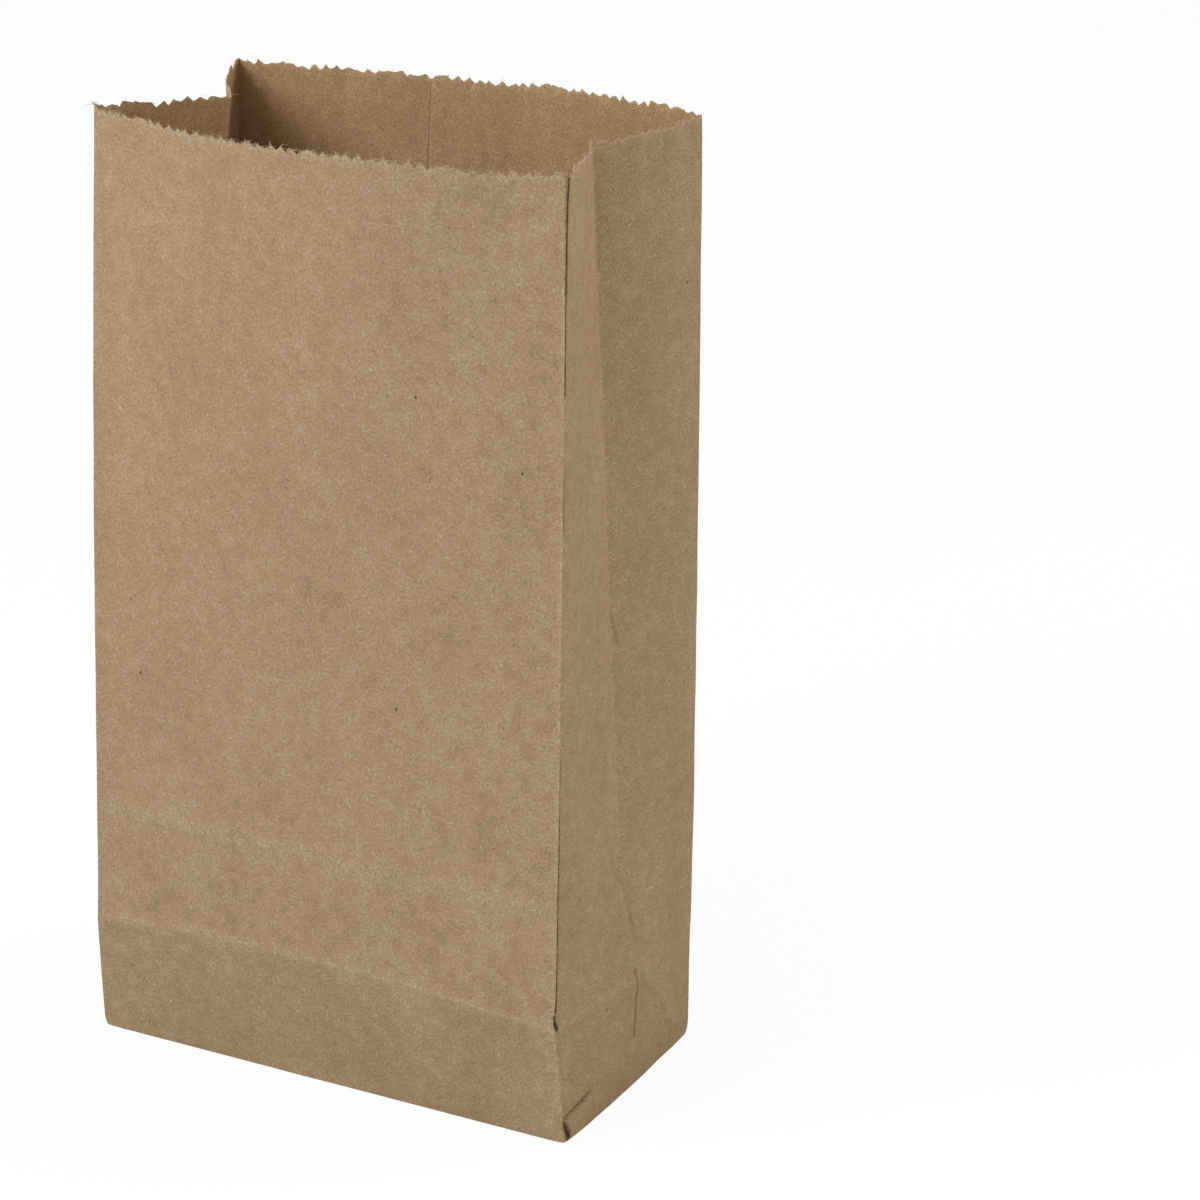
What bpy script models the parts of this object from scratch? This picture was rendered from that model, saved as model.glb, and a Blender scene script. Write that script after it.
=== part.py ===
"""Brown paper lunch sack, folded and pasted from one sheet of kraft paper.

The sheet is a gusseted tube with a block bottom. It is modelled as the open outer
surface of the paper, from a flat grid that is folded into the tube, with a floor of
folded flaps. Solidify then gives it the thickness of the paper. The sack stands on its
floor, which is centred on the origin, and its wide front panel faces -Y.
"""

import math

import bmesh
import bpy
from mathutils import Vector

MM = 0.001

# Sack, measured at the base
WIDTH = 130 * MM
DEPTH = 65 * MM
HEIGHT = 234 * MM
PAPER = 0.12 * MM

# Pinked rim
TOOTH_PITCH = 2.95 * MM
TOOTH_HEIGHT = 1.5 * MM
COLUMN_TEETH = 4

# Creases left by the flat, unopened sack
CREASE_RISE = 30.5 * MM
IMPRINT_RISE = 61.5 * MM

# How far each upright fold stands from its base corner, at the crease and at the mouth
CREASE_DRIFT = {
    "front_left": Vector((1.0, -2.5)) * MM,
    "front_right": Vector((-0.2, -4.9)) * MM,
    "back_right": Vector((2.3, -4.2)) * MM,
    "back_left": Vector((0.5, -1.5)) * MM,
}
MOUTH_DRIFT = {
    "front_left": Vector((5.2, 5.8)) * MM,
    "front_right": Vector((4.0, -6.3)) * MM,
    "back_right": Vector((6.1, -10.2)) * MM,
    "back_left": Vector((7.6, -1.6)) * MM,
}

# How each fold gets there, in x and y: evenly at 1, early below 1 and late above 1
DRIFT_POWERS = {
    "front_left": (2.2, 0.75),
    "front_right": (0.85, 1.5),
    "back_right": (0.7, 1.0),
    "back_left": (1.0, 1.0),
}

# Bow of the wide panels at the mouth, and the power of the way round that moves its top
FRONT_BOW = 11 * MM
BACK_BOW = 8.7 * MM
FRONT_BOW_SKEW = 1.0
BACK_BOW_SKEW = 0.7
BOW_POWER = 1.5

# Gussets: pushed in at the mouth, and out at the apex of the bottom folds and at the base
RIGHT_INSET = 10.2 * MM
LEFT_INSET = 16.8 * MM
APEX_LIFT = 3.8 * MM
APEX_FADE = 15 * MM
BASE_BULGE = 0.7 * MM

# Bottom flaps: the outer one covers the under one, which covers the side flaps
FLAP_OVERLAP = 12 * MM
SIDE_FLAP_PLIES = 0
UNDER_FLAP_PLIES = 1
OUTER_FLAP_PLIES = 2

# Lapped seam down the back panel, from its right fold
SEAM_LAP = 12 * MM
SEAM_START = 75 * MM
SEAM_PLIES = 1

# Rows of the sheet above the imprint
UPPER_ROWS = 6

# Least share of a face's normal that counts as facing one way
FACING = 0.7

KRAFT_COLOUR = (0.42, 0.29, 0.17, 1.0)
KRAFT_ROUGHNESS = 0.85

FRONT, RIGHT_FRONT, RIGHT_BACK, BACK, LEFT_BACK, LEFT_FRONT = range(6)
PANEL_CORNERS = {
    FRONT: ("front_left", "front_right"),
    RIGHT_FRONT: ("front_right", "back_right"),
    RIGHT_BACK: ("back_right", "front_right"),
    BACK: ("back_right", "back_left"),
    LEFT_BACK: ("back_left", "front_left"),
    LEFT_FRONT: ("front_left", "back_left"),
}
GUSSET_INSET = {
    RIGHT_FRONT: RIGHT_INSET,
    RIGHT_BACK: RIGHT_INSET,
    LEFT_BACK: LEFT_INSET,
    LEFT_FRONT: LEFT_INSET,
}
PANEL_BOW = {FRONT: (FRONT_BOW, FRONT_BOW_SKEW), BACK: (BACK_BOW, BACK_BOW_SKEW)}

# The side flaps lie on the flaps under them, so the floor starts that much above the ground
FLOOR_LEVEL = OUTER_FLAP_PLIES * PAPER


def clear_scene():
    """Remove the objects of the scene."""
    for item in list(bpy.data.objects):
        bpy.data.objects.remove(item, do_unlink=True)


def base_corner(name):
    """Place of a base corner in plan."""
    x = WIDTH / 2 if name.endswith("right") else -WIDTH / 2
    y = DEPTH / 2 if name.startswith("back") else -DEPTH / 2
    return Vector((x, y))


def share_above_crease(z):
    """Height above the crease, from 0 there to 1 at the mouth."""
    return max(0.0, z - CREASE_RISE) / (HEIGHT - CREASE_RISE)


def upright_fold(name, z):
    """Place in plan of an upright fold at height z."""
    if z <= CREASE_RISE:
        return base_corner(name) + CREASE_DRIFT[name] * (z / CREASE_RISE)
    share = share_above_crease(z)
    x_share, y_share = (share ** power for power in DRIFT_POWERS[name])
    rest = MOUTH_DRIFT[name] - CREASE_DRIFT[name]
    return base_corner(name) + CREASE_DRIFT[name] + Vector((rest.x * x_share, rest.y * y_share))


def wide_panel_point(panel, share, z):
    """Point of the front or back panel, share 0 to 1 of the way round it."""
    start_name, end_name = PANEL_CORNERS[panel]
    start = upright_fold(start_name, z)
    end = upright_fold(end_name, z)
    along = (end - start).normalized()
    outward = Vector((along.y, -along.x))
    size, skew = PANEL_BOW[panel]
    bow = size * share_above_crease(z) ** BOW_POWER * math.sin(math.pi * share ** skew)
    place = start.lerp(end, share) + outward * bow
    return Vector((place.x, place.y, z))


def gusset_point(panel, share, z):
    """Point of half a gusset, share 0 at its upright fold and 1 at its centre fold."""
    near_name, far_name = PANEL_CORNERS[panel]
    near = upright_fold(near_name, z)
    centre = (near + upright_fold(far_name, z)) / 2
    outward = Vector((1.0 if near_name.endswith("right") else -1.0, 0.0))
    if z <= CREASE_RISE:
        rise = z / CREASE_RISE
        bulge = BASE_BULGE * (1 - rise) * math.sin(math.pi / 2 * share)
        lift = APEX_LIFT * min(share, rise) + bulge
    else:
        fade = math.exp((CREASE_RISE - z) / APEX_FADE)
        lift = (APEX_LIFT * fade - GUSSET_INSET[panel] * share_above_crease(z)) * share
    place = near.lerp(centre, share) + outward * lift
    return Vector((place.x, place.y, z))


def column_shares(length):
    """Teeth of each column of a panel, and where the columns end, as shares of its length."""
    teeth = max(1, round(length / TOOTH_PITCH))
    counts = [COLUMN_TEETH] * (teeth // COLUMN_TEETH)
    if teeth % COLUMN_TEETH:
        counts.append(teeth % COLUMN_TEETH)
    ends = [sum(counts[: index + 1]) / teeth for index in range(len(counts))]
    return counts, ends


def sheet_columns():
    """Columns round the tube as (panel, share, teeth on the way to the next column)."""
    columns = []
    wide_counts, wide_ends = column_shares(WIDTH)
    half_counts, half_ends = column_shares(DEPTH / 2)
    for panel in (FRONT, RIGHT_FRONT, RIGHT_BACK, BACK, LEFT_BACK, LEFT_FRONT):
        if panel in PANEL_BOW:
            shares = [0.0] + wide_ends[:-1]
            counts = wide_counts
        elif panel in (RIGHT_FRONT, LEFT_BACK):
            shares = [0.0] + half_ends[:-1]
            counts = half_counts
        else:
            shares = list(reversed(half_ends))
            counts = list(reversed(half_counts))
        columns += [(panel, share, count) for share, count in zip(shares, counts)]
    return columns


def panel_starts(columns):
    """First column of each panel."""
    panels = [panel for panel, _, _ in columns]
    return {panel: panels.index(panel) for panel in range(len(PANEL_CORNERS))}


def sheet_rows():
    """Heights of the rows, from the floor to the roots of the teeth."""
    half_ends = column_shares(DEPTH / 2)[1]
    rows = [FLOOR_LEVEL]
    rows += [CREASE_RISE * end for end in half_ends]
    rows.append((CREASE_RISE + IMPRINT_RISE) / 2)
    root = HEIGHT - TOOTH_HEIGHT
    rows += [IMPRINT_RISE + (root - IMPRINT_RISE) * step / UPPER_ROWS for step in range(UPPER_ROWS + 1)]
    return rows


def sheet_point(panel, share, z):
    """Point of the tube's outer surface."""
    if panel in PANEL_BOW:
        return wide_panel_point(panel, share, z)
    return gusset_point(panel, share, z)


def fold_tube(bm):
    """Fold a flat grid into the tube, and give its rings of vertices, bottom row first."""
    columns = sheet_columns()
    rows = sheet_rows()
    bmesh.ops.create_grid(bm, x_segments=len(columns), y_segments=len(rows) - 1, size=0.5)
    across = len(columns)
    grid = {}
    for vert in bm.verts:
        column = round((vert.co.x + 0.5) * across)
        row = round((vert.co.y + 0.5) * (len(rows) - 1))
        grid[column, row] = vert
    for (column, row), vert in grid.items():
        panel, share, _ = columns[column % across]
        vert.co = sheet_point(panel, share, rows[row])
    doubles = {grid[across, row]: grid[0, row] for row in range(len(rows))}
    bmesh.ops.weld_verts(bm, targetmap=doubles)
    return [[grid[column, row] for column in range(across)] for row in range(len(rows))], columns


def crease_gussets(bm, rings, columns):
    """Fold each gusset from its apex down to its two base corners."""
    folds = len(column_shares(DEPTH / 2)[1])
    across = len(columns)
    starts = panel_starts(columns)
    runs = (
        (starts[RIGHT_FRONT], 1),
        (starts[BACK], -1),
        (starts[LEFT_BACK], 1),
        (starts[FRONT], -1),
    )
    for corner_column, way in runs:
        for step in range(folds):
            low = rings[step][(corner_column + way * step) % across]
            high = rings[step + 1][(corner_column + way * (step + 1)) % across]
            bmesh.ops.connect_verts(bm, verts=[low, high])


def pink_rim(bm, ring, columns):
    """Cut the teeth along the rim."""
    tips = []
    for index, (_, _, teeth) in enumerate(columns):
        start = ring[index]
        end = ring[(index + 1) % len(ring)]
        steps = 2 * teeth
        point = start
        for step in range(1, steps):
            edge = bm.edges.get((point, end))
            point = bmesh.utils.edge_split(edge, point, 1 / (steps - step + 1))[1]
            if step % 2:
                tips.append(point)
    bmesh.ops.translate(bm, verts=tips, vec=(0, 0, TOOTH_HEIGHT))


def flap_edge_teeth(half_width, y):
    """Pinked free edge of the outer flap, from its right end to its left."""
    teeth = max(1, round(2 * half_width / TOOTH_PITCH))
    points = []
    for step in range(1, 2 * teeth):
        x = half_width - half_width * step / teeth
        points.append(Vector((x, y + (TOOTH_HEIGHT if step % 2 else 0.0), FLOOR_LEVEL)))
    return points


def fold_floor(bm, ring, columns, plies):
    """Close the bottom with the outer flap, the flap under it and the two side flaps."""
    starts = panel_starts(columns)
    meet = WIDTH / 2 - DEPTH / 2
    free_edge = FLAP_OVERLAP / 2
    right_meet = bm.verts.new((meet, 0.0, FLOOR_LEVEL))
    left_meet = bm.verts.new((-meet, 0.0, FLOOR_LEVEL))
    right_end = bm.verts.new((meet - free_edge, free_edge, FLOOR_LEVEL))
    left_end = bm.verts.new((free_edge - meet, free_edge, FLOOR_LEVEL))
    teeth = [bm.verts.new(point) for point in flap_edge_teeth(meet - free_edge, free_edge)]

    front_edge = ring[starts[FRONT]: starts[RIGHT_FRONT] + 1]
    right_edge = ring[starts[RIGHT_FRONT]: starts[BACK] + 1]
    back_edge = ring[starts[BACK]: starts[LEFT_BACK] + 1]
    left_edge = ring[starts[LEFT_BACK]:] + [ring[0]]
    flaps = (
        (front_edge + [right_meet, right_end] + teeth + [left_end, left_meet], OUTER_FLAP_PLIES),
        (back_edge + [left_meet, left_end] + teeth[::-1] + [right_end, right_meet], UNDER_FLAP_PLIES),
        (right_edge + [right_meet], SIDE_FLAP_PLIES),
        (left_edge + [left_meet], SIDE_FLAP_PLIES),
    )
    for outline, count in flaps:
        flap = bm.faces.new(outline)
        flap[plies] = count


def back_faces(bm):
    """Faces of the back panel."""
    return [face for face in bm.faces if face.calc_center_median().y > 0 and face.normal.y > FACING]


def mark_seam(bm, plies):
    """Split the back panel along the seam's sides, and mark the lap between them."""
    right_side = WIDTH / 2 - SEAM_START
    left_side = right_side - SEAM_LAP
    for side in (left_side, right_side):
        faces = back_faces(bm)
        edges = {edge for face in faces for edge in face.edges}
        verts = {vert for face in faces for vert in face.verts}
        pieces = faces + list(edges) + list(verts)
        bmesh.ops.bisect_plane(bm, geom=pieces, plane_co=(side, 0, 0), plane_no=(1, 0, 0))
    for face in back_faces(bm):
        if left_side < face.calc_center_median().x < right_side:
            face[plies] = SEAM_PLIES


def raise_ply(bm, faces, shift):
    """Lay one more ply on some faces of the sheet."""
    result = bmesh.ops.extrude_face_region(bm, geom=faces)
    moved = [item for item in result["geom"] if isinstance(item, bmesh.types.BMVert)]
    bmesh.ops.translate(bm, verts=moved, vec=shift)
    bmesh.ops.delete(bm, geom=faces, context="FACES")


def add_plies(mesh):
    """Give the seam and the bottom flaps the plies that lie on the sheet."""
    bm = bmesh.new()
    bm.from_mesh(mesh)
    plies = bm.faces.layers.int["plies"]
    for count in range(1, OUTER_FLAP_PLIES + 1):
        under_floor = [face for face in bm.faces if face.normal.z < -FACING and face[plies] >= count]
        raise_ply(bm, under_floor, (0, 0, -PAPER))
    for count in range(1, SEAM_PLIES + 1):
        seam = [face for face in back_faces(bm) if face[plies] >= count]
        raise_ply(bm, seam, (0, PAPER, 0))
    bm.to_mesh(mesh)
    bm.free()


def kraft_paper():
    """Matt brown kraft."""
    material = bpy.data.materials.new("kraft_paper")
    material.use_nodes = True
    shader = material.node_tree.nodes["Principled BSDF"]
    shader.inputs["Base Color"].default_value = KRAFT_COLOUR
    shader.inputs["Roughness"].default_value = KRAFT_ROUGHNESS
    shader.inputs["Metallic"].default_value = 0.0
    return material


def paper_sack(collection):
    """Fold the sheet, give it its thickness, and lap its seam and flaps."""
    bm = bmesh.new()
    plies = bm.faces.layers.int.new("plies")
    rings, columns = fold_tube(bm)
    crease_gussets(bm, rings, columns)
    pink_rim(bm, rings[-1], columns)
    fold_floor(bm, rings[0], columns, plies)
    bmesh.ops.recalc_face_normals(bm, faces=bm.faces)
    floor = min(bm.faces, key=lambda face: face.calc_center_median().z)
    if floor.normal.z > 0:
        bmesh.ops.reverse_faces(bm, faces=bm.faces)
    mark_seam(bm, plies)
    bmesh.ops.triangulate(bm, faces=bm.faces)
    surface = bpy.data.meshes.new("sheet")
    bm.to_mesh(surface)
    bm.free()

    sheet = bpy.data.objects.new("sheet", surface)
    collection.objects.link(sheet)
    solidify = sheet.modifiers.new("paper", "SOLIDIFY")
    solidify.thickness = PAPER
    solidify.offset = -1
    solidify.use_even_offset = True
    evaluated = sheet.evaluated_get(bpy.context.evaluated_depsgraph_get())
    mesh = bpy.data.meshes.new_from_object(evaluated)
    bpy.data.objects.remove(sheet, do_unlink=True)

    add_plies(mesh)
    mesh.name = "paper_sack"
    mesh.materials.clear()
    mesh.materials.append(kraft_paper())
    sack = bpy.data.objects.new("paper_sack", mesh)
    collection.objects.link(sack)
    return sack


def main():
    """Model the sack in its own collection."""
    clear_scene()
    collection = bpy.data.collections.new("paper lunch sack")
    bpy.context.scene.collection.children.link(collection)
    paper_sack(collection)


main()
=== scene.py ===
import math

import bpy
import numpy as np
from mathutils import Matrix, Vector


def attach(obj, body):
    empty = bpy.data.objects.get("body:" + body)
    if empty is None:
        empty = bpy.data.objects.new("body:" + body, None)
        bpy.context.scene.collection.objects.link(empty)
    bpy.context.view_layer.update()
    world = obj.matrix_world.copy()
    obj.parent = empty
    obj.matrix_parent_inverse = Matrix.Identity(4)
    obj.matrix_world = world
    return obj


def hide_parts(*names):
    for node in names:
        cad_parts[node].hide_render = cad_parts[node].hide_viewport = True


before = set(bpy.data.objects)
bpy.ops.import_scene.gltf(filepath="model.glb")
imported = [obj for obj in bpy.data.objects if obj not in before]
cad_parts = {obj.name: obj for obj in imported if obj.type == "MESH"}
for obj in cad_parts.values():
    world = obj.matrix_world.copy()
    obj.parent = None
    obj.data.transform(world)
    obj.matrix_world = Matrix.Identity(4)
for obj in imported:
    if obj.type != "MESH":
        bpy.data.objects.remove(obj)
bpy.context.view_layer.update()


# Camera
# It looks at the near base corner from the right and a little from above, with a long
# lens, as the studio camera did.
azimuth = math.radians(30.07)
elevation = math.radians(19.70)
roll = math.radians(-0.80)
distance = 0.8797
target = Vector((0.0091, 0.0073, 0.1227))

back_way = Vector((math.sin(azimuth) * math.cos(elevation),
                   -math.cos(azimuth) * math.cos(elevation),
                   math.sin(elevation)))
level_right = Vector((math.cos(azimuth), math.sin(azimuth), 0.0))
level_up = back_way.cross(level_right)
right_way = math.cos(roll) * level_right + math.sin(roll) * level_up
up_way = math.cos(roll) * level_up - math.sin(roll) * level_right

camera_data = bpy.data.cameras.new("studio_camera")
camera = bpy.data.objects.new("studio_camera", camera_data)
bpy.context.scene.collection.objects.link(camera)
turn = Matrix((right_way, up_way, back_way)).transposed().to_4x4()
camera.matrix_world = Matrix.Translation(target + back_way * distance) @ turn
camera_data.sensor_width = 36.0
camera_data.lens = 110.43
camera_data.shift_x = 0.1375
camera_data.shift_y = -0.0308
camera_data.clip_start = 0.01
bpy.context.scene.camera = camera


# Kraft sheet, its walls
# One sheet of brown kraft, folded into four walls with a gusset at each side, and lapped
# and pasted down the back. The rim is cut to a zigzag by the saw knife, so its teeth are
# uneven, and the folds keep the pinch of the press that laid the sack flat.
width = 0.130
depth = 0.065
height = 0.234
paper = 0.00012
seam_start = 0.0785
seam_lap = 0.012
seam_bend = 0.0010
crease_rise = 0.0305
imprint_rise = 0.0615
tooth_pitch = 0.00295
tooth_height = 0.0013

# Ways round the sheet, measured from the front left fold along the front panel and on
half = depth / 2
girth = 2 * width + 2 * depth
front_right_way = width
right_centre_way = width + half
back_right_way = width + depth
back_left_way = 2 * width + depth
left_centre_way = 2 * width + depth + half
corner_ways = (0.0, front_right_way, back_right_way, back_left_way, girth)
fold_ways = corner_ways + (right_centre_way, left_centre_way)
panel_marks = sorted(fold_ways)

# Upright folds in plan: where each stands on the table, how far it has drifted from there
# at the lower crease and at the mouth, and the powers by which the drift grows, in x and y
base_place = {
    "front_left": (-width / 2, -half),
    "front_right": (width / 2, -half),
    "back_right": (width / 2, half),
    "back_left": (-width / 2, half),
}
crease_drift = {
    "front_left": (0.0010, -0.0025),
    "front_right": (-0.0002, -0.0049),
    "back_right": (0.0023, -0.0042),
    "back_left": (0.0005, -0.0015),
}
mouth_drift = {
    "front_left": (0.0052, 0.0058),
    "front_right": (0.0040, -0.0063),
    "back_right": (0.0061, -0.0102),
    "back_left": (0.0076, -0.0016),
}
drift_powers = {
    "front_left": (2.2, 0.75),
    "front_right": (0.85, 1.5),
    "back_right": (0.7, 1.0),
    "back_left": (1.0, 1.0),
}

# Bow of the wide panels at the mouth, and where along the panel its top lies
front_bow = 0.0110
back_bow = 0.0087
front_skew = 1.0
back_skew = 0.7
bow_power = 1.5

# Push-in of the gussets at the mouth, and the apex that stands out over their base folds
right_inset = 0.0102
left_inset = 0.0168
valley_power = 1.35
apex_lift = 0.0038
apex_fade = 0.015
base_bulge = 0.0007


def share_above_crease(z):
    """Height above the lower crease, 0 there and 1 at the mouth."""
    return np.clip(z - crease_rise, 0.0, None) / (height - crease_rise)


def upright_fold(name, z):
    """Place in plan of one upright fold at the heights z."""
    below = np.clip(z / crease_rise, 0.0, 1.0)[:, None]
    above = share_above_crease(z)[:, None] ** np.array(drift_powers[name])
    crease = np.array(crease_drift[name])
    mouth = np.array(mouth_drift[name])
    return np.array(base_place[name]) + crease * below + (mouth - crease) * above


def wide_panel(start_name, end_name, bow_at_mouth, skew, share, z):
    """Points in plan of the front or back panel."""
    start = upright_fold(start_name, z)
    end = upright_fold(end_name, z)
    along = end - start
    along /= np.linalg.norm(along, axis=1)[:, None]
    outward = np.stack((along[:, 1], -along[:, 0]), axis=1)
    bow = bow_at_mouth * share_above_crease(z) ** bow_power * np.sin(math.pi * share ** skew)
    return start + (end - start) * share[:, None] + outward * bow[:, None]


def gusset_half(near_name, far_name, inset, share, z):
    """Points in plan of half a gusset, share 0 at its upright fold and 1 at its centre."""
    near = upright_fold(near_name, z)
    centre = (near + upright_fold(far_name, z)) / 2
    side = 1.0 if near_name.endswith("right") else -1.0
    rise = np.clip(z / crease_rise, 0.0, 1.0)
    bulge = base_bulge * (1 - rise) * np.sin(math.pi / 2 * share)
    fade = np.exp(np.minimum(crease_rise - z, 0.0) / apex_fade)
    above = apex_lift * fade * share - inset * share_above_crease(z) * share ** valley_power
    lift = np.where(z <= crease_rise, apex_lift * np.minimum(share, rise) + bulge, above)
    place = near + (centre - near) * share[:, None]
    place[:, 0] += side * lift
    return place


def sheet_place(way, z):
    """Points of the folded sheet, by the way round from the front left fold and the height."""
    around = np.mod(way, girth)
    panels = (
        lambda share, z: wide_panel("front_left", "front_right", front_bow, front_skew, share, z),
        lambda share, z: gusset_half("front_right", "back_right", right_inset, share, z),
        lambda share, z: gusset_half("back_right", "front_right", right_inset, 1 - share, z),
        lambda share, z: wide_panel("back_right", "back_left", back_bow, back_skew, share, z),
        lambda share, z: gusset_half("back_left", "front_left", left_inset, share, z),
        lambda share, z: gusset_half("front_left", "back_left", left_inset, 1 - share, z),
    )
    place = np.zeros((len(around), 3))
    place[:, 2] = z
    for panel, start, end in zip(panels, panel_marks, panel_marks[1:]):
        inside = (around >= start) & (around < end)
        share = (around[inside] - start) / (end - start)
        place[inside, :2] = panel(share, z[inside])
    return place


def ripple(x, y, size_x, size_y, seed, waves=7):
    """Smooth uneven waves between about -1 and 1, no shorter than the two sizes."""
    wave_draw = np.random.RandomState(seed)
    total = np.zeros_like(x)
    for _ in range(waves):
        turns_x = wave_draw.uniform(-1.0, 1.0) / size_x
        turns_y = wave_draw.uniform(-1.0, 1.0) / size_y
        total += np.sin(2 * math.pi * (x * turns_x + y * turns_y + wave_draw.uniform(0, 1)))
    return total / math.sqrt(waves)


def bump(x, middle, spread):
    """Round rise with its top at middle."""
    return np.exp(-((x - middle) / spread) ** 2)


def crest(x, middle, spread):
    """Sharp rise with its edge at middle."""
    return np.exp(-np.abs(x - middle) / spread)


# Teeth of the rim: each has its own height, lean and root, and some have run together
tooth_power = 1.1
together_share = 0.20
rim_sway = 0.00025
rim_roughness = 0.00014

sheet_start = back_right_way + seam_start
lap_start = sheet_start + girth
sheet_end = lap_start + seam_lap
tooth_count = round((sheet_end - sheet_start) / tooth_pitch)
tooth_step = (sheet_end - sheet_start) / tooth_count
tooth_draw = np.random.RandomState(11)
tooth_peak = tooth_draw.uniform(0.25, 1.05, tooth_count + 1)
tooth_root = tooth_draw.uniform(-0.15, 0.25, tooth_count + 2)
tooth_middle = tooth_draw.uniform(0.34, 0.74, tooth_count + 1)
run_together = tooth_draw.random_sample(tooth_count + 2) < together_share
tooth_root[run_together] = tooth_draw.uniform(0.45, 0.80, int(run_together.sum()))


def rim_rise(way):
    """Height of the cut edge above the line of the roots, in teeth."""
    along = (way - sheet_start) / tooth_step
    index = np.clip(np.floor(along + 1e-6).astype(int), 0, tooth_count)
    within = np.clip(along - index, 0, 1)
    middle = tooth_middle[index]
    before = within / middle
    after = (1 - within) / (1 - middle)
    slope = np.clip(np.minimum(before, after), 0, 1) ** tooth_power
    root = np.where(before < after, tooth_root[index], tooth_root[index + 1])
    return root + (tooth_peak[index] - root) * slope


# Ways of the sheet's columns: four to a tooth, and closer ones beside the folds
fold_columns = (0.0, 0.00012, 0.00025, 0.0004, 0.0006)
furrow_columns = (0.0008, 0.0010, 0.0013, 0.0017)
ways = [sheet_end, lap_start, lap_start - seam_bend]
for index in range(tooth_count):
    start = sheet_start + index * tooth_step
    middle = tooth_middle[index]
    ways += [start + tooth_step * share for share in (0.0, middle * 0.6, middle, (1 + middle) / 2)]
for fold in fold_ways:
    for gap in fold_columns:
        ways += [fold + gap, fold - gap, fold + girth + gap, fold + girth - gap]
ways += [front_right_way + girth + gap for gap in furrow_columns]
ways = np.unique(np.round([way for way in ways if sheet_start <= way <= sheet_end], 6))
way_count = len(ways)

# Heights of its rows: closer at the base fold, at the creases and under the rim
row_bands = (
    (0.0014, 0.0124, 0.0010),
    (0.0126, 0.0285, 0.0026),
    (0.0290, 0.0355, 0.0007),
    (0.0365, 0.0600, 0.0030),
    (0.0652, 0.1000, 0.0040),
    (0.1010, 0.2260, 0.0062),
)
rows = [0.0, 0.00015, 0.00035, 0.0007, 0.0606, 0.0615, 0.0624, 0.2272, 0.2290, 0.2304]
for low, high, step in row_bands:
    rows += list(np.arange(low, high, step))
rows = np.sort(rows)
rim_shares = np.array([0.40, 0.72, 1.0])
row_count = len(rows) + len(rim_shares)

# The mouth isn't quite level: how far it is above or below, at some ways round
mouth_level = (
    (0.0, 0.0001),
    (width / 2, 0.0003),
    (front_right_way, 0.0004),
    (right_centre_way, 0.0004),
    (back_right_way, 0.0015),
    (back_right_way + 0.33 * width, 0.0015),
    (back_right_way + 0.50 * width, 0.0009),
    (back_right_way + 0.70 * width, 0.0005),
    (back_left_way, 0.0010),
    (left_centre_way, -0.0006),
    (left_centre_way + half / 2, -0.0009),
)
mouth_ways, mouth_lifts = zip(*mouth_level)
cut_edge = height - tooth_height + tooth_height * rim_rise(ways)
cut_edge += np.interp(ways, mouth_ways, mouth_lifts, period=girth)
torn = tooth_draw.normal(0.0, rim_roughness, way_count)
cut_edge += rim_sway * ripple(ways, ways, 0.05, 0.05, seed=3) + torn

grid_z = np.repeat(rows[:, None], way_count, axis=1)
rim_rows = rows[-1] + (cut_edge - rows[-1])[None, :] * rim_shares[:, None]
flat_way = np.tile(ways, row_count)
flat_z = np.concatenate((grid_z, rim_rows)).ravel()
points = sheet_place(flat_way, flat_z)

# Outward normals of the folded sheet, from its neighbouring points
reach = 0.0004
across = sheet_place(flat_way + reach, flat_z) - sheet_place(flat_way - reach, flat_z)
upward = sheet_place(flat_way, flat_z + reach) - sheet_place(flat_way, flat_z - reach)
normals = np.cross(across, upward)
normals /= np.linalg.norm(normals, axis=1)[:, None]

# Where each point lies on the sheet; the right gusset has marks of its own
around = np.mod(flat_way, girth)
fold_gap = np.min([np.abs(around - fold) for fold in fold_ways], axis=0)
corner_gap = np.min([np.abs(around - corner) for corner in corner_ways], axis=0)
valley_gap = np.minimum(np.abs(around - right_centre_way), np.abs(around - left_centre_way))
gusset_way = around - front_right_way
apex_gap = gusset_way - half
on_front = around < front_right_way
on_back = (around >= back_right_way) & (around < back_left_way)
on_wide = (on_front | on_back).astype(float)
on_gusset = ((gusset_way > 0) & (gusset_way < depth)).astype(float)
mouthward = share_above_crease(flat_z)

# Slack of the paper between its folds, the fine cockle of kraft, and the flutter of the rim
wall_slack = 0.00045
wall_wave = 0.00020
cockle = 0.00004
rim_flutter = 0.00035
flutter_fade = 0.006
fold_hold = 0.012
free = np.clip(fold_gap / fold_hold, 0, 1) ** 1.5
shift = wall_slack * free * mouthward * ripple(around, flat_z, 0.075, 0.25, seed=21)
shift += wall_wave * free * ripple(around, flat_z, 0.035, 0.070, seed=22)
shift += cockle * ripple(around, flat_z, 0.011, 0.022, seed=23, waves=12)
flutter = rim_flutter * np.exp((flat_z - height) / flutter_fade)
shift += flutter * ripple(around, flat_z, 0.010, 0.5, seed=24)

# Press creases across the wide panels; the lower one arches a little on the front panel
crease_top = crease_rise + 0.0012
crease_arch = 0.0025
crease_ridge = 0.00028
imprint_ridge = 0.00022
press_dent = 0.00016
crease_end = 0.004
crease_line = crease_top + on_front * crease_arch * np.sin(math.pi * np.clip(around / width, 0, 1))
off_fold = on_wide * np.clip(fold_gap / crease_end, 0, 1)
shift += off_fold * crease_ridge * crest(flat_z, crease_line, spread=0.0012)
shift -= off_fold * press_dent * bump(flat_z, crease_line - 0.0045, spread=0.0035)
shift += off_fold * imprint_ridge * crest(flat_z, imprint_rise, spread=0.0010)
shift -= off_fold * press_dent * bump(flat_z, imprint_rise - 0.0035, spread=0.0030)

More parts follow.
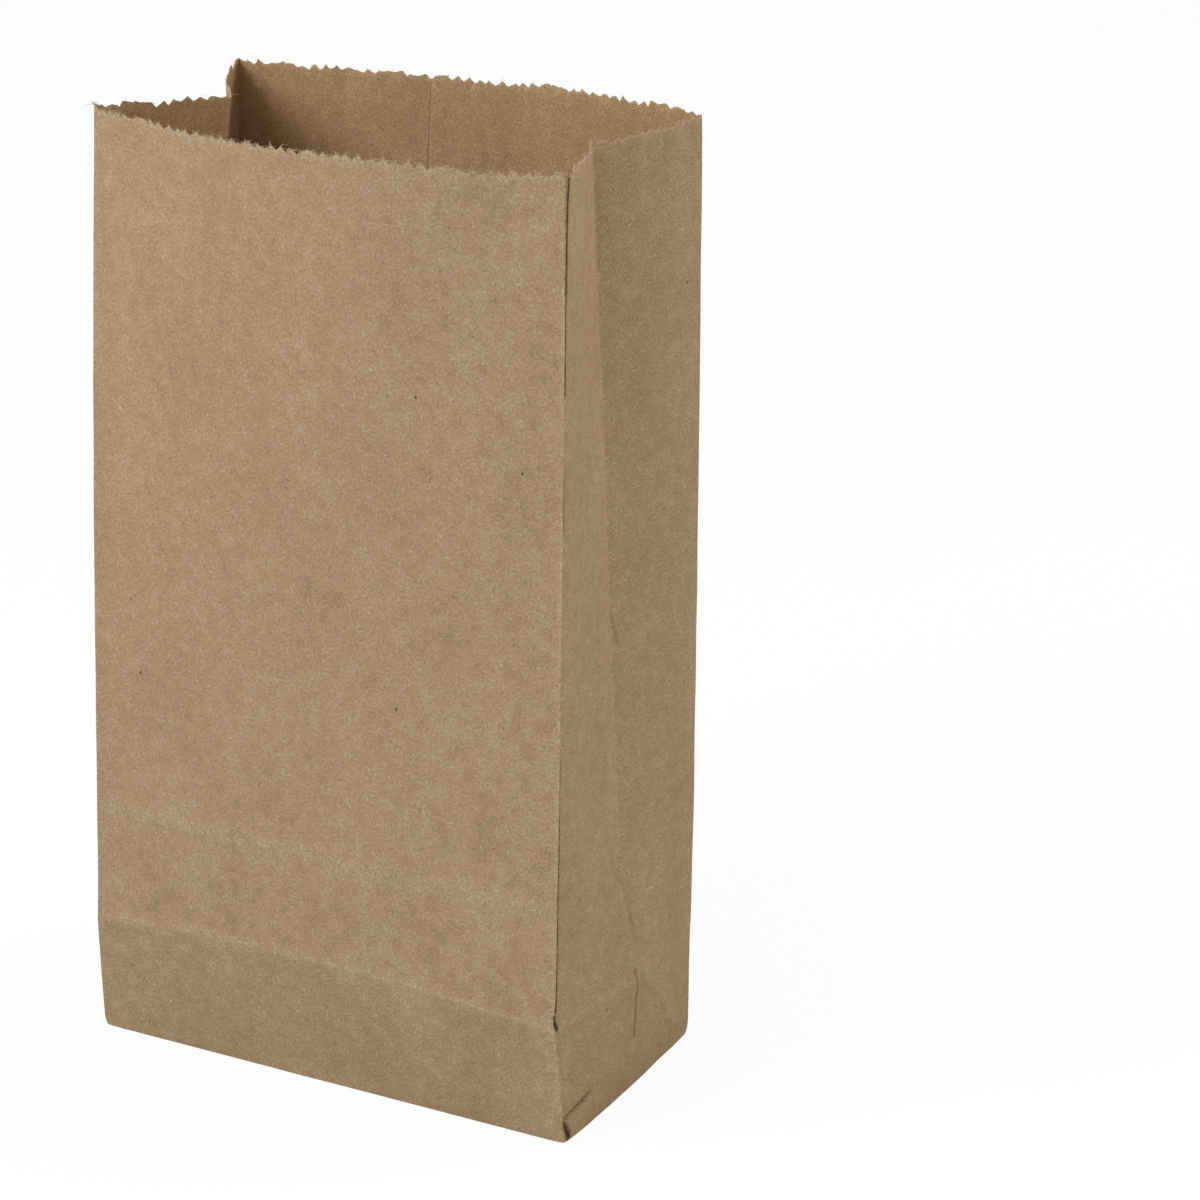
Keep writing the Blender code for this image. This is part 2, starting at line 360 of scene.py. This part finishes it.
# Faint upright mark low on the front panel
mark_way = 0.0405
mark_depth = 0.00014
shift -= on_front * mark_depth * bump(flat_z, 0.046, spread=0.020) * crest(around, mark_way, spread=0.0010)

# Rounded fold at the base, and blunt corners
base_round = 0.00025
corner_cut = 0.0006
lowest = np.clip(base_round - flat_z, 0, None)
shift -= base_round - np.sqrt(np.maximum(base_round ** 2 - lowest ** 2, 0))
shift -= corner_cut * bump(corner_gap, 0.0, spread=0.0008) * np.clip(1 - flat_z / 0.0022, 0, 1) ** 2

# Upright folds stand out as thin ridges
fold_ridge = 0.00022
shift += fold_ridge * crest(corner_gap, 0.0, spread=0.0004) * np.clip(flat_z / 0.004, 0, 1)

# A fine furrow beside the near fold, deepest near the mouth and above the lower crease
furrow_depth = 0.00030
furrow = 0.3 + 0.7 * np.clip((flat_z - 0.180) / 0.012, 0, 1) + 0.7 * bump(flat_z, 0.060, spread=0.016)
shift -= on_gusset * furrow_depth * furrow * bump(gusset_way, 0.0008, spread=0.0004)

# Tuck at the near base corner: it slopes up the gusset, and the paper below it rolls out
tuck_rise = 0.0054
tuck_slope = 0.36
tuck_depth = 0.0010
tuck_roll = 0.0005
tuck_gap = flat_z - (tuck_rise + tuck_slope * gusset_way)
tuck_reach = np.clip(1.15 - gusset_way / 0.0125, 0, 1) * np.clip(gusset_way / 0.0012, 0, 1)
shift -= on_gusset * tuck_depth * bump(tuck_gap, 0.0, spread=0.0011) * tuck_reach
shift += on_gusset * tuck_roll * bump(tuck_gap, -0.0024, spread=0.0014) * tuck_reach

# Small hole at that corner, and the nick where the lower crease meets the near fold: how high
# each lies, how far from the fold, how tall it is and how broad
nick_depth = 0.0009
nicks = (
    (0.0035, 0.0016, 0.0016, 0.0009),
    (0.0338, 0.0004, 0.0026, 0.0007),
)
for nick_rise, nick_gap, tall, broad in nicks:
    shift -= nick_depth * bump(flat_z, nick_rise, tall) * bump(around, front_right_way + nick_gap, broad)

# The middle fold of each gusset is pinched in from the mouth down to the base crease
valley_pinch = 0.00055
shift -= valley_pinch * crest(valley_gap, 0.0, spread=0.0036) * np.clip((flat_z - 0.045) / 0.020, 0, 1)

# Pull that slopes down to the gusset's apex
pull_depth = 0.00045
pull_slope = 0.215
pull_way = half - 0.0004 + (0.0634 - flat_z) * pull_slope
pull_height = bump(flat_z, 0.056, spread=0.012)
shift -= on_gusset * pull_depth * bump(gusset_way, pull_way, spread=0.0014) * pull_height

# Creases round the apex: one straight below it, one level in front, and one down to the rear
apex_dent = 0.00035
front_crease = 0.00045
rear_crease = 0.00060
rear_drop = 1.15
rear_slope = flat_z - (0.0340 - rear_drop * apex_gap)
rear_reach = np.clip(apex_gap / 0.003, 0, 1) * (apex_gap < 0.024)
shift -= on_gusset * apex_dent * bump(apex_gap, 0.0010, spread=0.0014) * bump(flat_z, 0.026, spread=0.009)
shift += on_gusset * rear_crease * crest(rear_slope, 0.0, spread=0.0020) * rear_reach
shift += on_gusset * front_crease * crest(flat_z, crease_top, spread=0.0012) * (apex_gap < 0)

# The lap of the back seam lies one sheet further out, with a trace of air under it
lap_air = 0.00001
shift += (paper + lap_air) * np.clip((flat_way - lap_start) / seam_bend + 1, 0, 1)

points += normals * shift[:, None]
points[:, 2] = np.maximum(points[:, 2], 0.0)

# The flat grid of the sheet is laid on these points
bpy.ops.object.select_all(action="DESELECT")
bpy.ops.mesh.primitive_grid_add(x_subdivisions=way_count - 1, y_subdivisions=row_count - 1, size=1)
tube = bpy.context.object
tube.name = "kraft_sheet"
mesh = tube.data
grid_places = np.zeros(len(mesh.vertices) * 3)
mesh.vertices.foreach_get("co", grid_places)
grid_places = grid_places.reshape(-1, 3) + 0.5
column = np.rint(grid_places[:, 0] * (way_count - 1)).astype(int)
row = np.rint(grid_places[:, 1] * (row_count - 1)).astype(int)
pick = row * way_count + column
mesh.vertices.foreach_set("co", points[pick].ravel())

# Its UV map is the flat sheet in metres, so that fibres and creases follow the paper
uv = mesh.uv_layers[0]
uv.name = "sheet"
corner_vertex = np.zeros(len(mesh.loops), dtype=int)
mesh.loops.foreach_get("vertex_index", corner_vertex)
corner_pick = pick[corner_vertex]
uv_places = np.stack((flat_way[corner_pick] - girth, flat_z[corner_pick]), axis=1)
uv.data.foreach_set("uv", uv_places.ravel())

# The folds, the creases and the cut rim have worn paler
front_side = apex_gap < 0
rear_side = (apex_gap > 0) & (apex_gap < 0.022)
fold_wear = 0.40 * crest(fold_gap, 0.0, spread=0.0005)
rim_wear = crest(flat_z, np.tile(cut_edge, row_count), spread=0.0007)
crease_wear = on_wide * crest(flat_z, crease_line, spread=0.0006)
crease_wear += on_gusset * front_side * 0.45 * crest(flat_z, crease_top, spread=0.0006)
crease_wear += on_gusset * rear_side * 0.35 * crest(rear_slope, 0.0, spread=0.0008)
imprint_wear = off_fold * 0.40 * bump(flat_z, imprint_rise - 0.0008, spread=0.0018)
wear = fold_wear + rim_wear + 0.65 * crease_wear + imprint_wear
worn = mesh.attributes.new("worn", "FLOAT", "POINT")
worn.data.foreach_set("value", np.clip(wear, 0, 1)[pick])

# The paper's thickness goes inwards, and its cut edges stay sharp
mesh.update()
mesh.shade_smooth()
wall = tube.modifiers.new("paper", "SOLIDIFY")
wall.thickness = paper
wall.offset = -1
bpy.ops.object.modifier_apply(modifier=wall.name)
for vert in mesh.vertices:
    vert.co.z = max(vert.co.z, 0.0)
mesh.set_sharp_from_angle(angle=math.radians(28))

# Solidify adds the inner side's points after the outer ones
inner = mesh.attributes.new("inner", "FLOAT", "POINT")
inner.data.foreach_set("value", np.arange(len(mesh.vertices)) >= way_count * row_count)


# Kraft sheet, its paper
# Unbleached kraft: long fibres lie in all directions in a mottled tan ground, with a few
# dark shives and pale flecks. Painted shade darkens hairlines where the folds and pulls have broken it.
kraft_dark = (0.030, 0.016, 0.006, 1.0)
kraft_shade = (0.205, 0.128, 0.060, 1.0)
kraft_tan = (0.362, 0.240, 0.128, 1.0)
kraft_pale = (0.690, 0.550, 0.385, 1.0)
# Painted light: tint of the inner side for the light that comes through the paper
painted_through_light = (1.09, 1.01, 0.92, 1.0)
fleck_cells = 95.0
fibre_length = 0.0024
fibre_relief = 0.0006

kraft = bpy.data.materials.new("kraft_paper")
kraft.use_nodes = True
nodes = kraft.node_tree.nodes
links = kraft.node_tree.links
shader = nodes["Principled BSDF"]
shader.inputs["Roughness"].default_value = 0.72
shader.inputs["Specular IOR Level"].default_value = 0.50
sheet_uv = nodes.new("ShaderNodeUVMap")
sheet_uv.uv_map = "sheet"


def fibre_noise(turn_degrees, length, breadth, detail, seed):
    """Noise whose grains lie one way over the sheet, and have this length and breadth."""
    mapping = nodes.new("ShaderNodeMapping")
    mapping.vector_type = "TEXTURE"
    mapping.inputs["Rotation"].default_value = (0.0, 0.0, math.radians(turn_degrees))
    mapping.inputs["Scale"].default_value = (length, breadth, 1.0)
    mapping.inputs["Location"].default_value = (seed * 0.31, seed * 0.17, seed)
    links.new(sheet_uv.outputs["UV"], mapping.inputs["Vector"])
    noise = nodes.new("ShaderNodeTexNoise")
    noise.noise_dimensions = "3D"
    noise.inputs["Scale"].default_value = 1.0
    noise.inputs["Detail"].default_value = detail
    links.new(mapping.outputs["Vector"], noise.inputs["Vector"])
    return noise.outputs["Fac"]


def levels(value, low, high, to_low, to_high):
    """Spread a stretch of values to another."""
    remap = nodes.new("ShaderNodeMapRange")
    remap.inputs["From Min"].default_value = low
    remap.inputs["From Max"].default_value = high
    remap.inputs["To Min"].default_value = to_low
    remap.inputs["To Max"].default_value = to_high
    links.new(value, remap.inputs["Value"])
    return remap.outputs["Result"]


def joined(kind, first, *others):
    """Sum, product or other join of values."""
    result = first
    for other in others:
        node = nodes.new("ShaderNodeMath")
        node.operation = kind
        for socket, value in zip(node.inputs, (result, other)):
            if isinstance(value, (int, float)):
                socket.default_value = value
            else:
                links.new(value, socket)
        result = node.outputs["Value"]
    return result


def crossed_fibres(turns, breadth, first_seed):
    """Fibres that lie over each other at several turns; the strongest shows."""
    layers = [fibre_noise(turn, fibre_length, breadth, 1, first_seed + index)
              for index, turn in enumerate(turns)]
    return joined("MAXIMUM", *layers)


def hairline(start, end, spread):
    """1 on a line between two places of the sheet, and 0 from spread metres away."""
    first = Vector((start[0], start[1], 0.0))
    along = Vector((end[0], end[1], 0.0)) - first
    offset = nodes.new("ShaderNodeVectorMath")
    offset.operation = "SUBTRACT"
    offset.inputs[1].default_value = first
    links.new(sheet_uv.outputs["UV"], offset.inputs[0])
    share = nodes.new("ShaderNodeVectorMath")
    share.operation = "DOT_PRODUCT"
    share.inputs[1].default_value = along / along.length_squared
    links.new(offset.outputs["Vector"], share.inputs[0])
    nearest = nodes.new("ShaderNodeVectorMath")
    nearest.operation = "SCALE"
    nearest.inputs[0].default_value = along
    links.new(levels(share.outputs["Value"], 0.0, 1.0, 0.0, 1.0), nearest.inputs["Scale"])
    gap = nodes.new("ShaderNodeVectorMath")
    gap.operation = "DISTANCE"
    links.new(offset.outputs["Vector"], gap.inputs[0])
    links.new(nearest.outputs["Vector"], gap.inputs[1])
    return levels(gap.outputs["Value"], 0.0, spread, 1.0, 0.0)


def gusset_line(start, end, spread):
    """Hairline whose places are measured from the near fold."""
    return hairline((front_right_way + start[0], start[1]), (front_right_way + end[0], end[1]), spread)


# Mottled ground with the fibres over it
cloud = levels(fibre_noise(0, 0.016, 0.030, 3, 1), 0.3, 0.7, -0.035, 0.035)
fine_cloud = levels(fibre_noise(25, 0.0034, 0.0042, 2, 2), 0.3, 0.7, -0.048, 0.048)
grain = levels(fibre_noise(0, 0.0006, 0.0006, 2, 3), 0.28, 0.72, -0.120, 0.120)
pale_fibres = crossed_fibres((8, 52, 97, 140), 0.00042, 4)
dark_fibres = crossed_fibres((-12, 30, 72, 118), 0.00040, 9)
pale_streaks = levels(pale_fibres, 0.64, 0.82, 0.0, 0.22)
dark_streaks = levels(dark_fibres, 0.64, 0.82, 0.0, -0.24)
ground = joined("ADD", cloud, fine_cloud, grain, pale_streaks, dark_streaks)

# Shives and flecks: one spot in a cell of the sheet, some dark and some pale
flecks = nodes.new("ShaderNodeTexVoronoi")
flecks.inputs["Scale"].default_value = fleck_cells
flecks.inputs["Randomness"].default_value = 1.0
links.new(sheet_uv.outputs["UV"], flecks.inputs["Vector"])
fleck_colour = nodes.new("ShaderNodeSeparateColor")
links.new(flecks.outputs["Color"], fleck_colour.inputs["Color"])
fleck_chance = fleck_colour.outputs["Red"]
fleck_spot = levels(flecks.outputs["Distance"], 0.018, 0.042, 1.0, 0.0)
dark_fleck = joined("MULTIPLY", fleck_spot, joined("LESS_THAN", fleck_chance, 0.50), -0.50)
pale_fleck = joined("MULTIPLY", fleck_spot, joined("GREATER_THAN", fleck_chance, 0.72), 0.35)

# Painted shade in the split beside the near fold: wide at the mouth, ragged low down, with the nick and
# the hole
split_top = gusset_line((0.0007, 0.2080), (0.0007, 0.2345), spread=0.00095)
split_tail = gusset_line((0.0007, 0.1850), (0.0007, 0.2080), spread=0.00062)
split_middle = gusset_line((0.0007, 0.1540), (0.0007, 0.1660), spread=0.00045)
split_rise = gusset_line((0.0007, 0.0860), (0.0007, 0.0990), spread=0.00040)
split_low = gusset_line((0.0007, 0.0360), (0.0007, 0.0860), spread=0.00046)
split_nick = gusset_line((0.0002, 0.0350), (0.0009, 0.0318), spread=0.00070)
corner_hole = gusset_line((0.0009, 0.0046), (0.0018, 0.0014), spread=0.00150)
ragged = levels(fibre_noise(0, 0.0030, 0.0042, 2, 21), 0.34, 0.60, 0.35, 1.0)
faint_splits = joined("MULTIPLY", joined("MAXIMUM", split_middle, split_rise), 0.5)
ragged_split = joined("MULTIPLY", split_low, ragged)
splits = joined("MAXIMUM", split_top, split_tail, faint_splits, ragged_split, split_nick, corner_hole)

# Painted shade along the edge of the tuck, the pulls in the gusset, and the mark low on the front panel
corner_tuck = gusset_line((0.0006, 0.0060), (0.0112, 0.0096), spread=0.00120)
apex_line = gusset_line((0.0326, 0.0338), (0.0326, 0.0155), spread=0.00105)
apex_pull = gusset_line((0.0309, 0.0634), (0.0356, 0.0402), spread=0.00120)
small_pull = gusset_line((0.0323, 0.1247), (0.0345, 0.1155), spread=0.00090)
rear_fold = gusset_line((0.0348, 0.0312), (0.0480, 0.0160), spread=0.00200)
panel_mark = hairline((mark_way, 0.0350), (mark_way, 0.0640), spread=0.00110)
pulls = joined("MAXIMUM", corner_tuck, apex_line)
faint_pulls = joined("MAXIMUM", apex_pull, small_pull, joined("MULTIPLY", rear_fold, 0.5))
# Painted shade of all the hairlines, strongest in the split; the same lines also sink the bump below
crease_shade = joined("MAXIMUM", joined("MULTIPLY", splits, 0.80), joined("MULTIPLY", pulls, 0.36),
                      joined("MULTIPLY", faint_pulls, 0.15), joined("MULTIPLY", panel_mark, 0.05))

# Worn paper shows its pale fibres
worn_places = nodes.new("ShaderNodeAttribute")
worn_places.attribute_name = "worn"
worn_tone = joined("MULTIPLY", worn_places.outputs["Fac"], levels(pale_fibres, 0.48, 0.72, 0.04, 0.26))
# The hairlines darken the tone with painted shade
painted_shade = joined("MULTIPLY", crease_shade, -1.0)
tone = joined("ADD", ground, worn_tone, pale_fleck, dark_fleck, painted_shade, 0.5)

# Tone 0.5 is the plain paper
ramp = nodes.new("ShaderNodeValToRGB")
stops = ramp.color_ramp.elements
stops[0].color = kraft_dark
stops[1].color = kraft_pale
stops.new(0.2).color = kraft_shade
stops.new(0.5).color = kraft_tan
links.new(tone, ramp.inputs["Fac"])

# Painted light: the inner side's colour is warmed a little, to stand in for the light that comes through
# the thin paper
inner_side = nodes.new("ShaderNodeAttribute")
inner_side.attribute_name = "inner"
painted_through_lit = nodes.new("ShaderNodeMix")
painted_through_lit.data_type = "RGBA"
painted_through_lit.blend_type = "MULTIPLY"
painted_through_lit.inputs["B"].default_value = painted_through_light
links.new(inner_side.outputs["Fac"], painted_through_lit.inputs["Factor"])
links.new(ramp.outputs["Color"], painted_through_lit.inputs["A"])
links.new(painted_through_lit.outputs["Result"], shader.inputs["Base Color"])

# Fibres stand up a little, and the hairlines lie deep
relief = joined("ADD", joined("MULTIPLY", grain, 0.3), joined("MULTIPLY", pale_streaks, 0.5),
                joined("MULTIPLY", dark_streaks, 0.4), joined("MULTIPLY", crease_shade, -1.2))
surface = nodes.new("ShaderNodeBump")
surface.inputs["Strength"].default_value = 0.50
surface.inputs["Distance"].default_value = fibre_relief
links.new(relief, surface.inputs["Height"])
links.new(surface.outputs["Normal"], shader.inputs["Normal"])

tube.data.materials.clear()
tube.data.materials.append(kraft)


# Kraft sheet, its bottom
# The end of the tube is folded flat and pasted: the side flaps go in first, here as one
# ply, then the back flap, then the front flap over it. Free edges keep the knife's zigzag.
flap_overlap = 0.012
flap_rows = 8
wall_room = paper + 0.00005
meet = width / 2 - half
flap_half = width / 2 - wall_room
flap_reach = half - wall_room
free_y = flap_overlap / 2


def flat_flap(name, far_half, near_y, far_y, low_z, toothed):
    """Flat flap with one long edge at a wall, and a free edge that may be pinked."""
    teeth = round(2 * far_half / tooth_pitch)
    bpy.ops.object.select_all(action="DESELECT")
    bpy.ops.mesh.primitive_grid_add(x_subdivisions=2 * teeth, y_subdivisions=flap_rows, size=1)
    flap = bpy.context.object
    flap.name = name
    for vert in flap.data.vertices:
        share = vert.co.y + 0.5
        step = round((vert.co.x + 0.5) * 2 * teeth)
        y = near_y + (far_y - near_y) * share
        if toothed and share > 0.99 and step % 2:
            y += math.copysign(tooth_height, far_y - near_y)
        flap_width = flap_half + (far_half - flap_half) * share
        if far_half == flap_half:
            flap_width += base_bulge * math.sin(math.pi / 2 * (1 - abs(y) / half))
        x = math.copysign(2 * flap_width, far_y - near_y) * vert.co.x
        at_side = step in (0, 2 * teeth)
        at_wall = abs(y) > flap_reach - 0.00001
        if at_side and at_wall:
            x -= math.copysign(corner_cut / 2, x)
            y -= math.copysign(corner_cut / 2, y)
        vert.co = (x, y, low_z)
    # The flaps take their fibres from a part of the pattern that is clear of the walls' marks
    flap_uv = flap.data.uv_layers[0]
    flap_uv.name = "sheet"
    for loop in flap.data.loops:
        place = flap.data.vertices[loop.vertex_index].co
        flap_uv.data[loop.index].uv = (place.x + 0.5, place.y - 0.5)
    thick = flap.modifiers.new("paper", "SOLIDIFY")
    thick.thickness = paper
    thick.offset = 1
    bpy.ops.object.modifier_apply(modifier=thick.name)
    flap.data.materials.clear()
    flap.data.materials.append(kraft)
    return flap


flaps = [
    flat_flap("outer_flap", meet - free_y, -flap_reach, free_y, 0.0, True),
    flat_flap("under_flap", meet - free_y, flap_reach, -free_y, paper, True),
    flat_flap("floor_ply", flap_half, -flap_reach, flap_reach, 2 * paper, False),
]

bpy.ops.object.select_all(action="DESELECT")
for flap in flaps:
    flap.select_set(True)
tube.select_set(True)
bpy.context.view_layer.objects.active = tube
bpy.ops.object.join()
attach(tube, "root")
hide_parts("paper_sack")


# Rim fibres
# Short pale wood fibres of the sheet itself. The knife tears the paper as it cuts, so their
# ends stand out of the rim, curled over, and most of them are along the front panel.
fibre_count = 760
front_share = 0.80
fibre_radius = 0.00006
fibre_lengths = (0.0004, 0.0016)
fibre_root = 0.0003
fibre_lean = 0.75
fibre_curl = 0.60
fibre_taper = (1.0, 0.8, 0.4)

fibre_draw = np.random.RandomState(5)
front_spots = np.flatnonzero(np.mod(ways, girth) < front_right_way)
front_count = int(fibre_count * front_share)
spots = np.concatenate((fibre_draw.choice(front_spots, front_count),
                        fibre_draw.randint(0, way_count - 1, fibre_count - front_count)))
roots = points.reshape(row_count, way_count, 3)[-1][spots]
outward = normals.reshape(row_count, way_count, 3)[-1][spots]
lengths = fibre_draw.uniform(*fibre_lengths, fibre_count)
leans = fibre_draw.normal(0.0, fibre_lean, (fibre_count, 3))
leans += outward * fibre_draw.normal(0.2, 0.4, (fibre_count, 1))

bpy.ops.object.select_all(action="DESELECT")
bpy.ops.curve.primitive_bezier_curve_add()
strands = bpy.context.object
strands.name = "rim_fibres"
strands.data.splines.clear()
strands.data.dimensions = "3D"
strands.data.bevel_depth = fibre_radius
strands.data.bevel_resolution = 0
for root, length, lean in zip(roots, lengths, leans):
    rise = Vector((lean[0], lean[1], abs(lean[2]) + 0.7)).normalized()
    bend = Vector((lean[1], -lean[0], -0.4)) * fibre_curl
    start = Vector(root) - rise * fibre_root
    middle_place = start + (rise + bend * 0.4) * length * 0.5
    tip = start + (rise + bend) * length
    spline = strands.data.splines.new("POLY")
    spline.points.add(2)
    for point, place, radius in zip(spline.points, (start, middle_place, tip), fibre_taper):
        point.co = (*place, 1.0)
        point.radius = radius
bpy.ops.object.convert(target="MESH")
strands = bpy.context.object

pale_fibre = bpy.data.materials.new("pale_fibre")
pale_fibre.use_nodes = True
fibre_shader = pale_fibre.node_tree.nodes["Principled BSDF"]
fibre_shader.inputs["Base Color"].default_value = (0.56, 0.44, 0.30, 1.0)
fibre_shader.inputs["Roughness"].default_value = 0.9
fibre_shader.inputs["Specular IOR Level"].default_value = 0.12
strands.data.materials.clear()
strands.data.materials.append(pale_fibre)
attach(strands, "root")


# Studio
# A floor that the camera sees white, with the sack's shadow, an even room, a soft lamp at
# the upper left of the camera, and a weaker one at the right behind the sack.
floor_size = 6.0
floor_low = 0.0001
floor_grey = 0.72
floor_glow_share = 0.92
room_tint = (1.0, 0.965, 0.90, 1.0)
room_strength = 0.56

bpy.ops.object.select_all(action="DESELECT")
bpy.ops.mesh.primitive_plane_add(size=floor_size, location=(0, 0, -floor_low))
floor = bpy.context.object
floor.name = "studio_floor"
floor_paint = bpy.data.materials.new("studio_floor")
floor_paint.use_nodes = True
floor_nodes = floor_paint.node_tree.nodes
floor_links = floor_paint.node_tree.links
floor_shader = floor_nodes["Principled BSDF"]
floor_shader.inputs["Roughness"].default_value = 0.9
floor_shader.inputs["Specular IOR Level"].default_value = 0.0
floor_glow = floor_nodes.new("ShaderNodeEmission")
floor_glow.inputs["Strength"].default_value = 1.0
floor_view = floor_nodes.new("ShaderNodeLightPath")
floor_tone = floor_nodes.new("ShaderNodeMapRange")
floor_tone.inputs["To Min"].default_value = floor_grey
floor_links.new(floor_view.outputs["Is Camera Ray"], floor_tone.inputs["Value"])
floor_links.new(floor_tone.outputs["Result"], floor_shader.inputs["Base Color"])
floor_share = floor_nodes.new("ShaderNodeMath")
floor_share.operation = "MULTIPLY"
floor_share.inputs[1].default_value = floor_glow_share
floor_mix = floor_nodes.new("ShaderNodeMixShader")
floor_links.new(floor_view.outputs["Is Camera Ray"], floor_share.inputs[0])
floor_links.new(floor_share.outputs["Value"], floor_mix.inputs["Fac"])
floor_links.new(floor_shader.outputs["BSDF"], floor_mix.inputs[1])
floor_links.new(floor_glow.outputs["Emission"], floor_mix.inputs[2])
floor_links.new(floor_mix.outputs["Shader"], floor_nodes["Material Output"].inputs["Surface"])
floor.data.materials.append(floor_paint)

world = bpy.context.scene.world or bpy.data.worlds.new("studio")
bpy.context.scene.world = world
world.use_nodes = True
room = world.node_tree.nodes
room_links = world.node_tree.links
room.clear()
room_light = room.new("ShaderNodeBackground")
room_light.inputs["Color"].default_value = room_tint
room_light.inputs["Strength"].default_value = room_strength
room_view = room.new("ShaderNodeBackground")
room_view.inputs["Strength"].default_value = 1.0
room_path = room.new("ShaderNodeLightPath")
room_mix = room.new("ShaderNodeMixShader")
room_out = room.new("ShaderNodeOutputWorld")
room_links.new(room_path.outputs["Is Camera Ray"], room_mix.inputs["Fac"])
room_links.new(room_light.outputs["Background"], room_mix.inputs[1])
room_links.new(room_view.outputs["Background"], room_mix.inputs[2])
room_links.new(room_mix.outputs["Shader"], room_out.inputs["Surface"])


def soft_lamp(name, place, aim, size, watts, colour):
    """Square lamp turned to a point."""
    data = bpy.data.lights.new(name, "AREA")
    data.size = size
    data.energy = watts
    data.color = colour
    lamp = bpy.data.objects.new(name, data)
    bpy.context.scene.collection.objects.link(lamp)
    lamp.location = place
    lamp.rotation_euler = (Vector(aim) - Vector(place)).to_track_quat("-Z", "Y").to_euler()


soft_lamp("key_lamp", (-0.50, -0.85, 0.95), (0.0, 0.0, 0.14), 0.60, 10.1, (0.90, 0.965, 1.0))
soft_lamp("side_lamp", (0.76, 0.52, 0.55), (0.05, 0.0, 0.12), 0.45, 2.9, (1.0, 0.96, 0.86))

bpy.context.scene.view_settings.view_transform = "Standard"
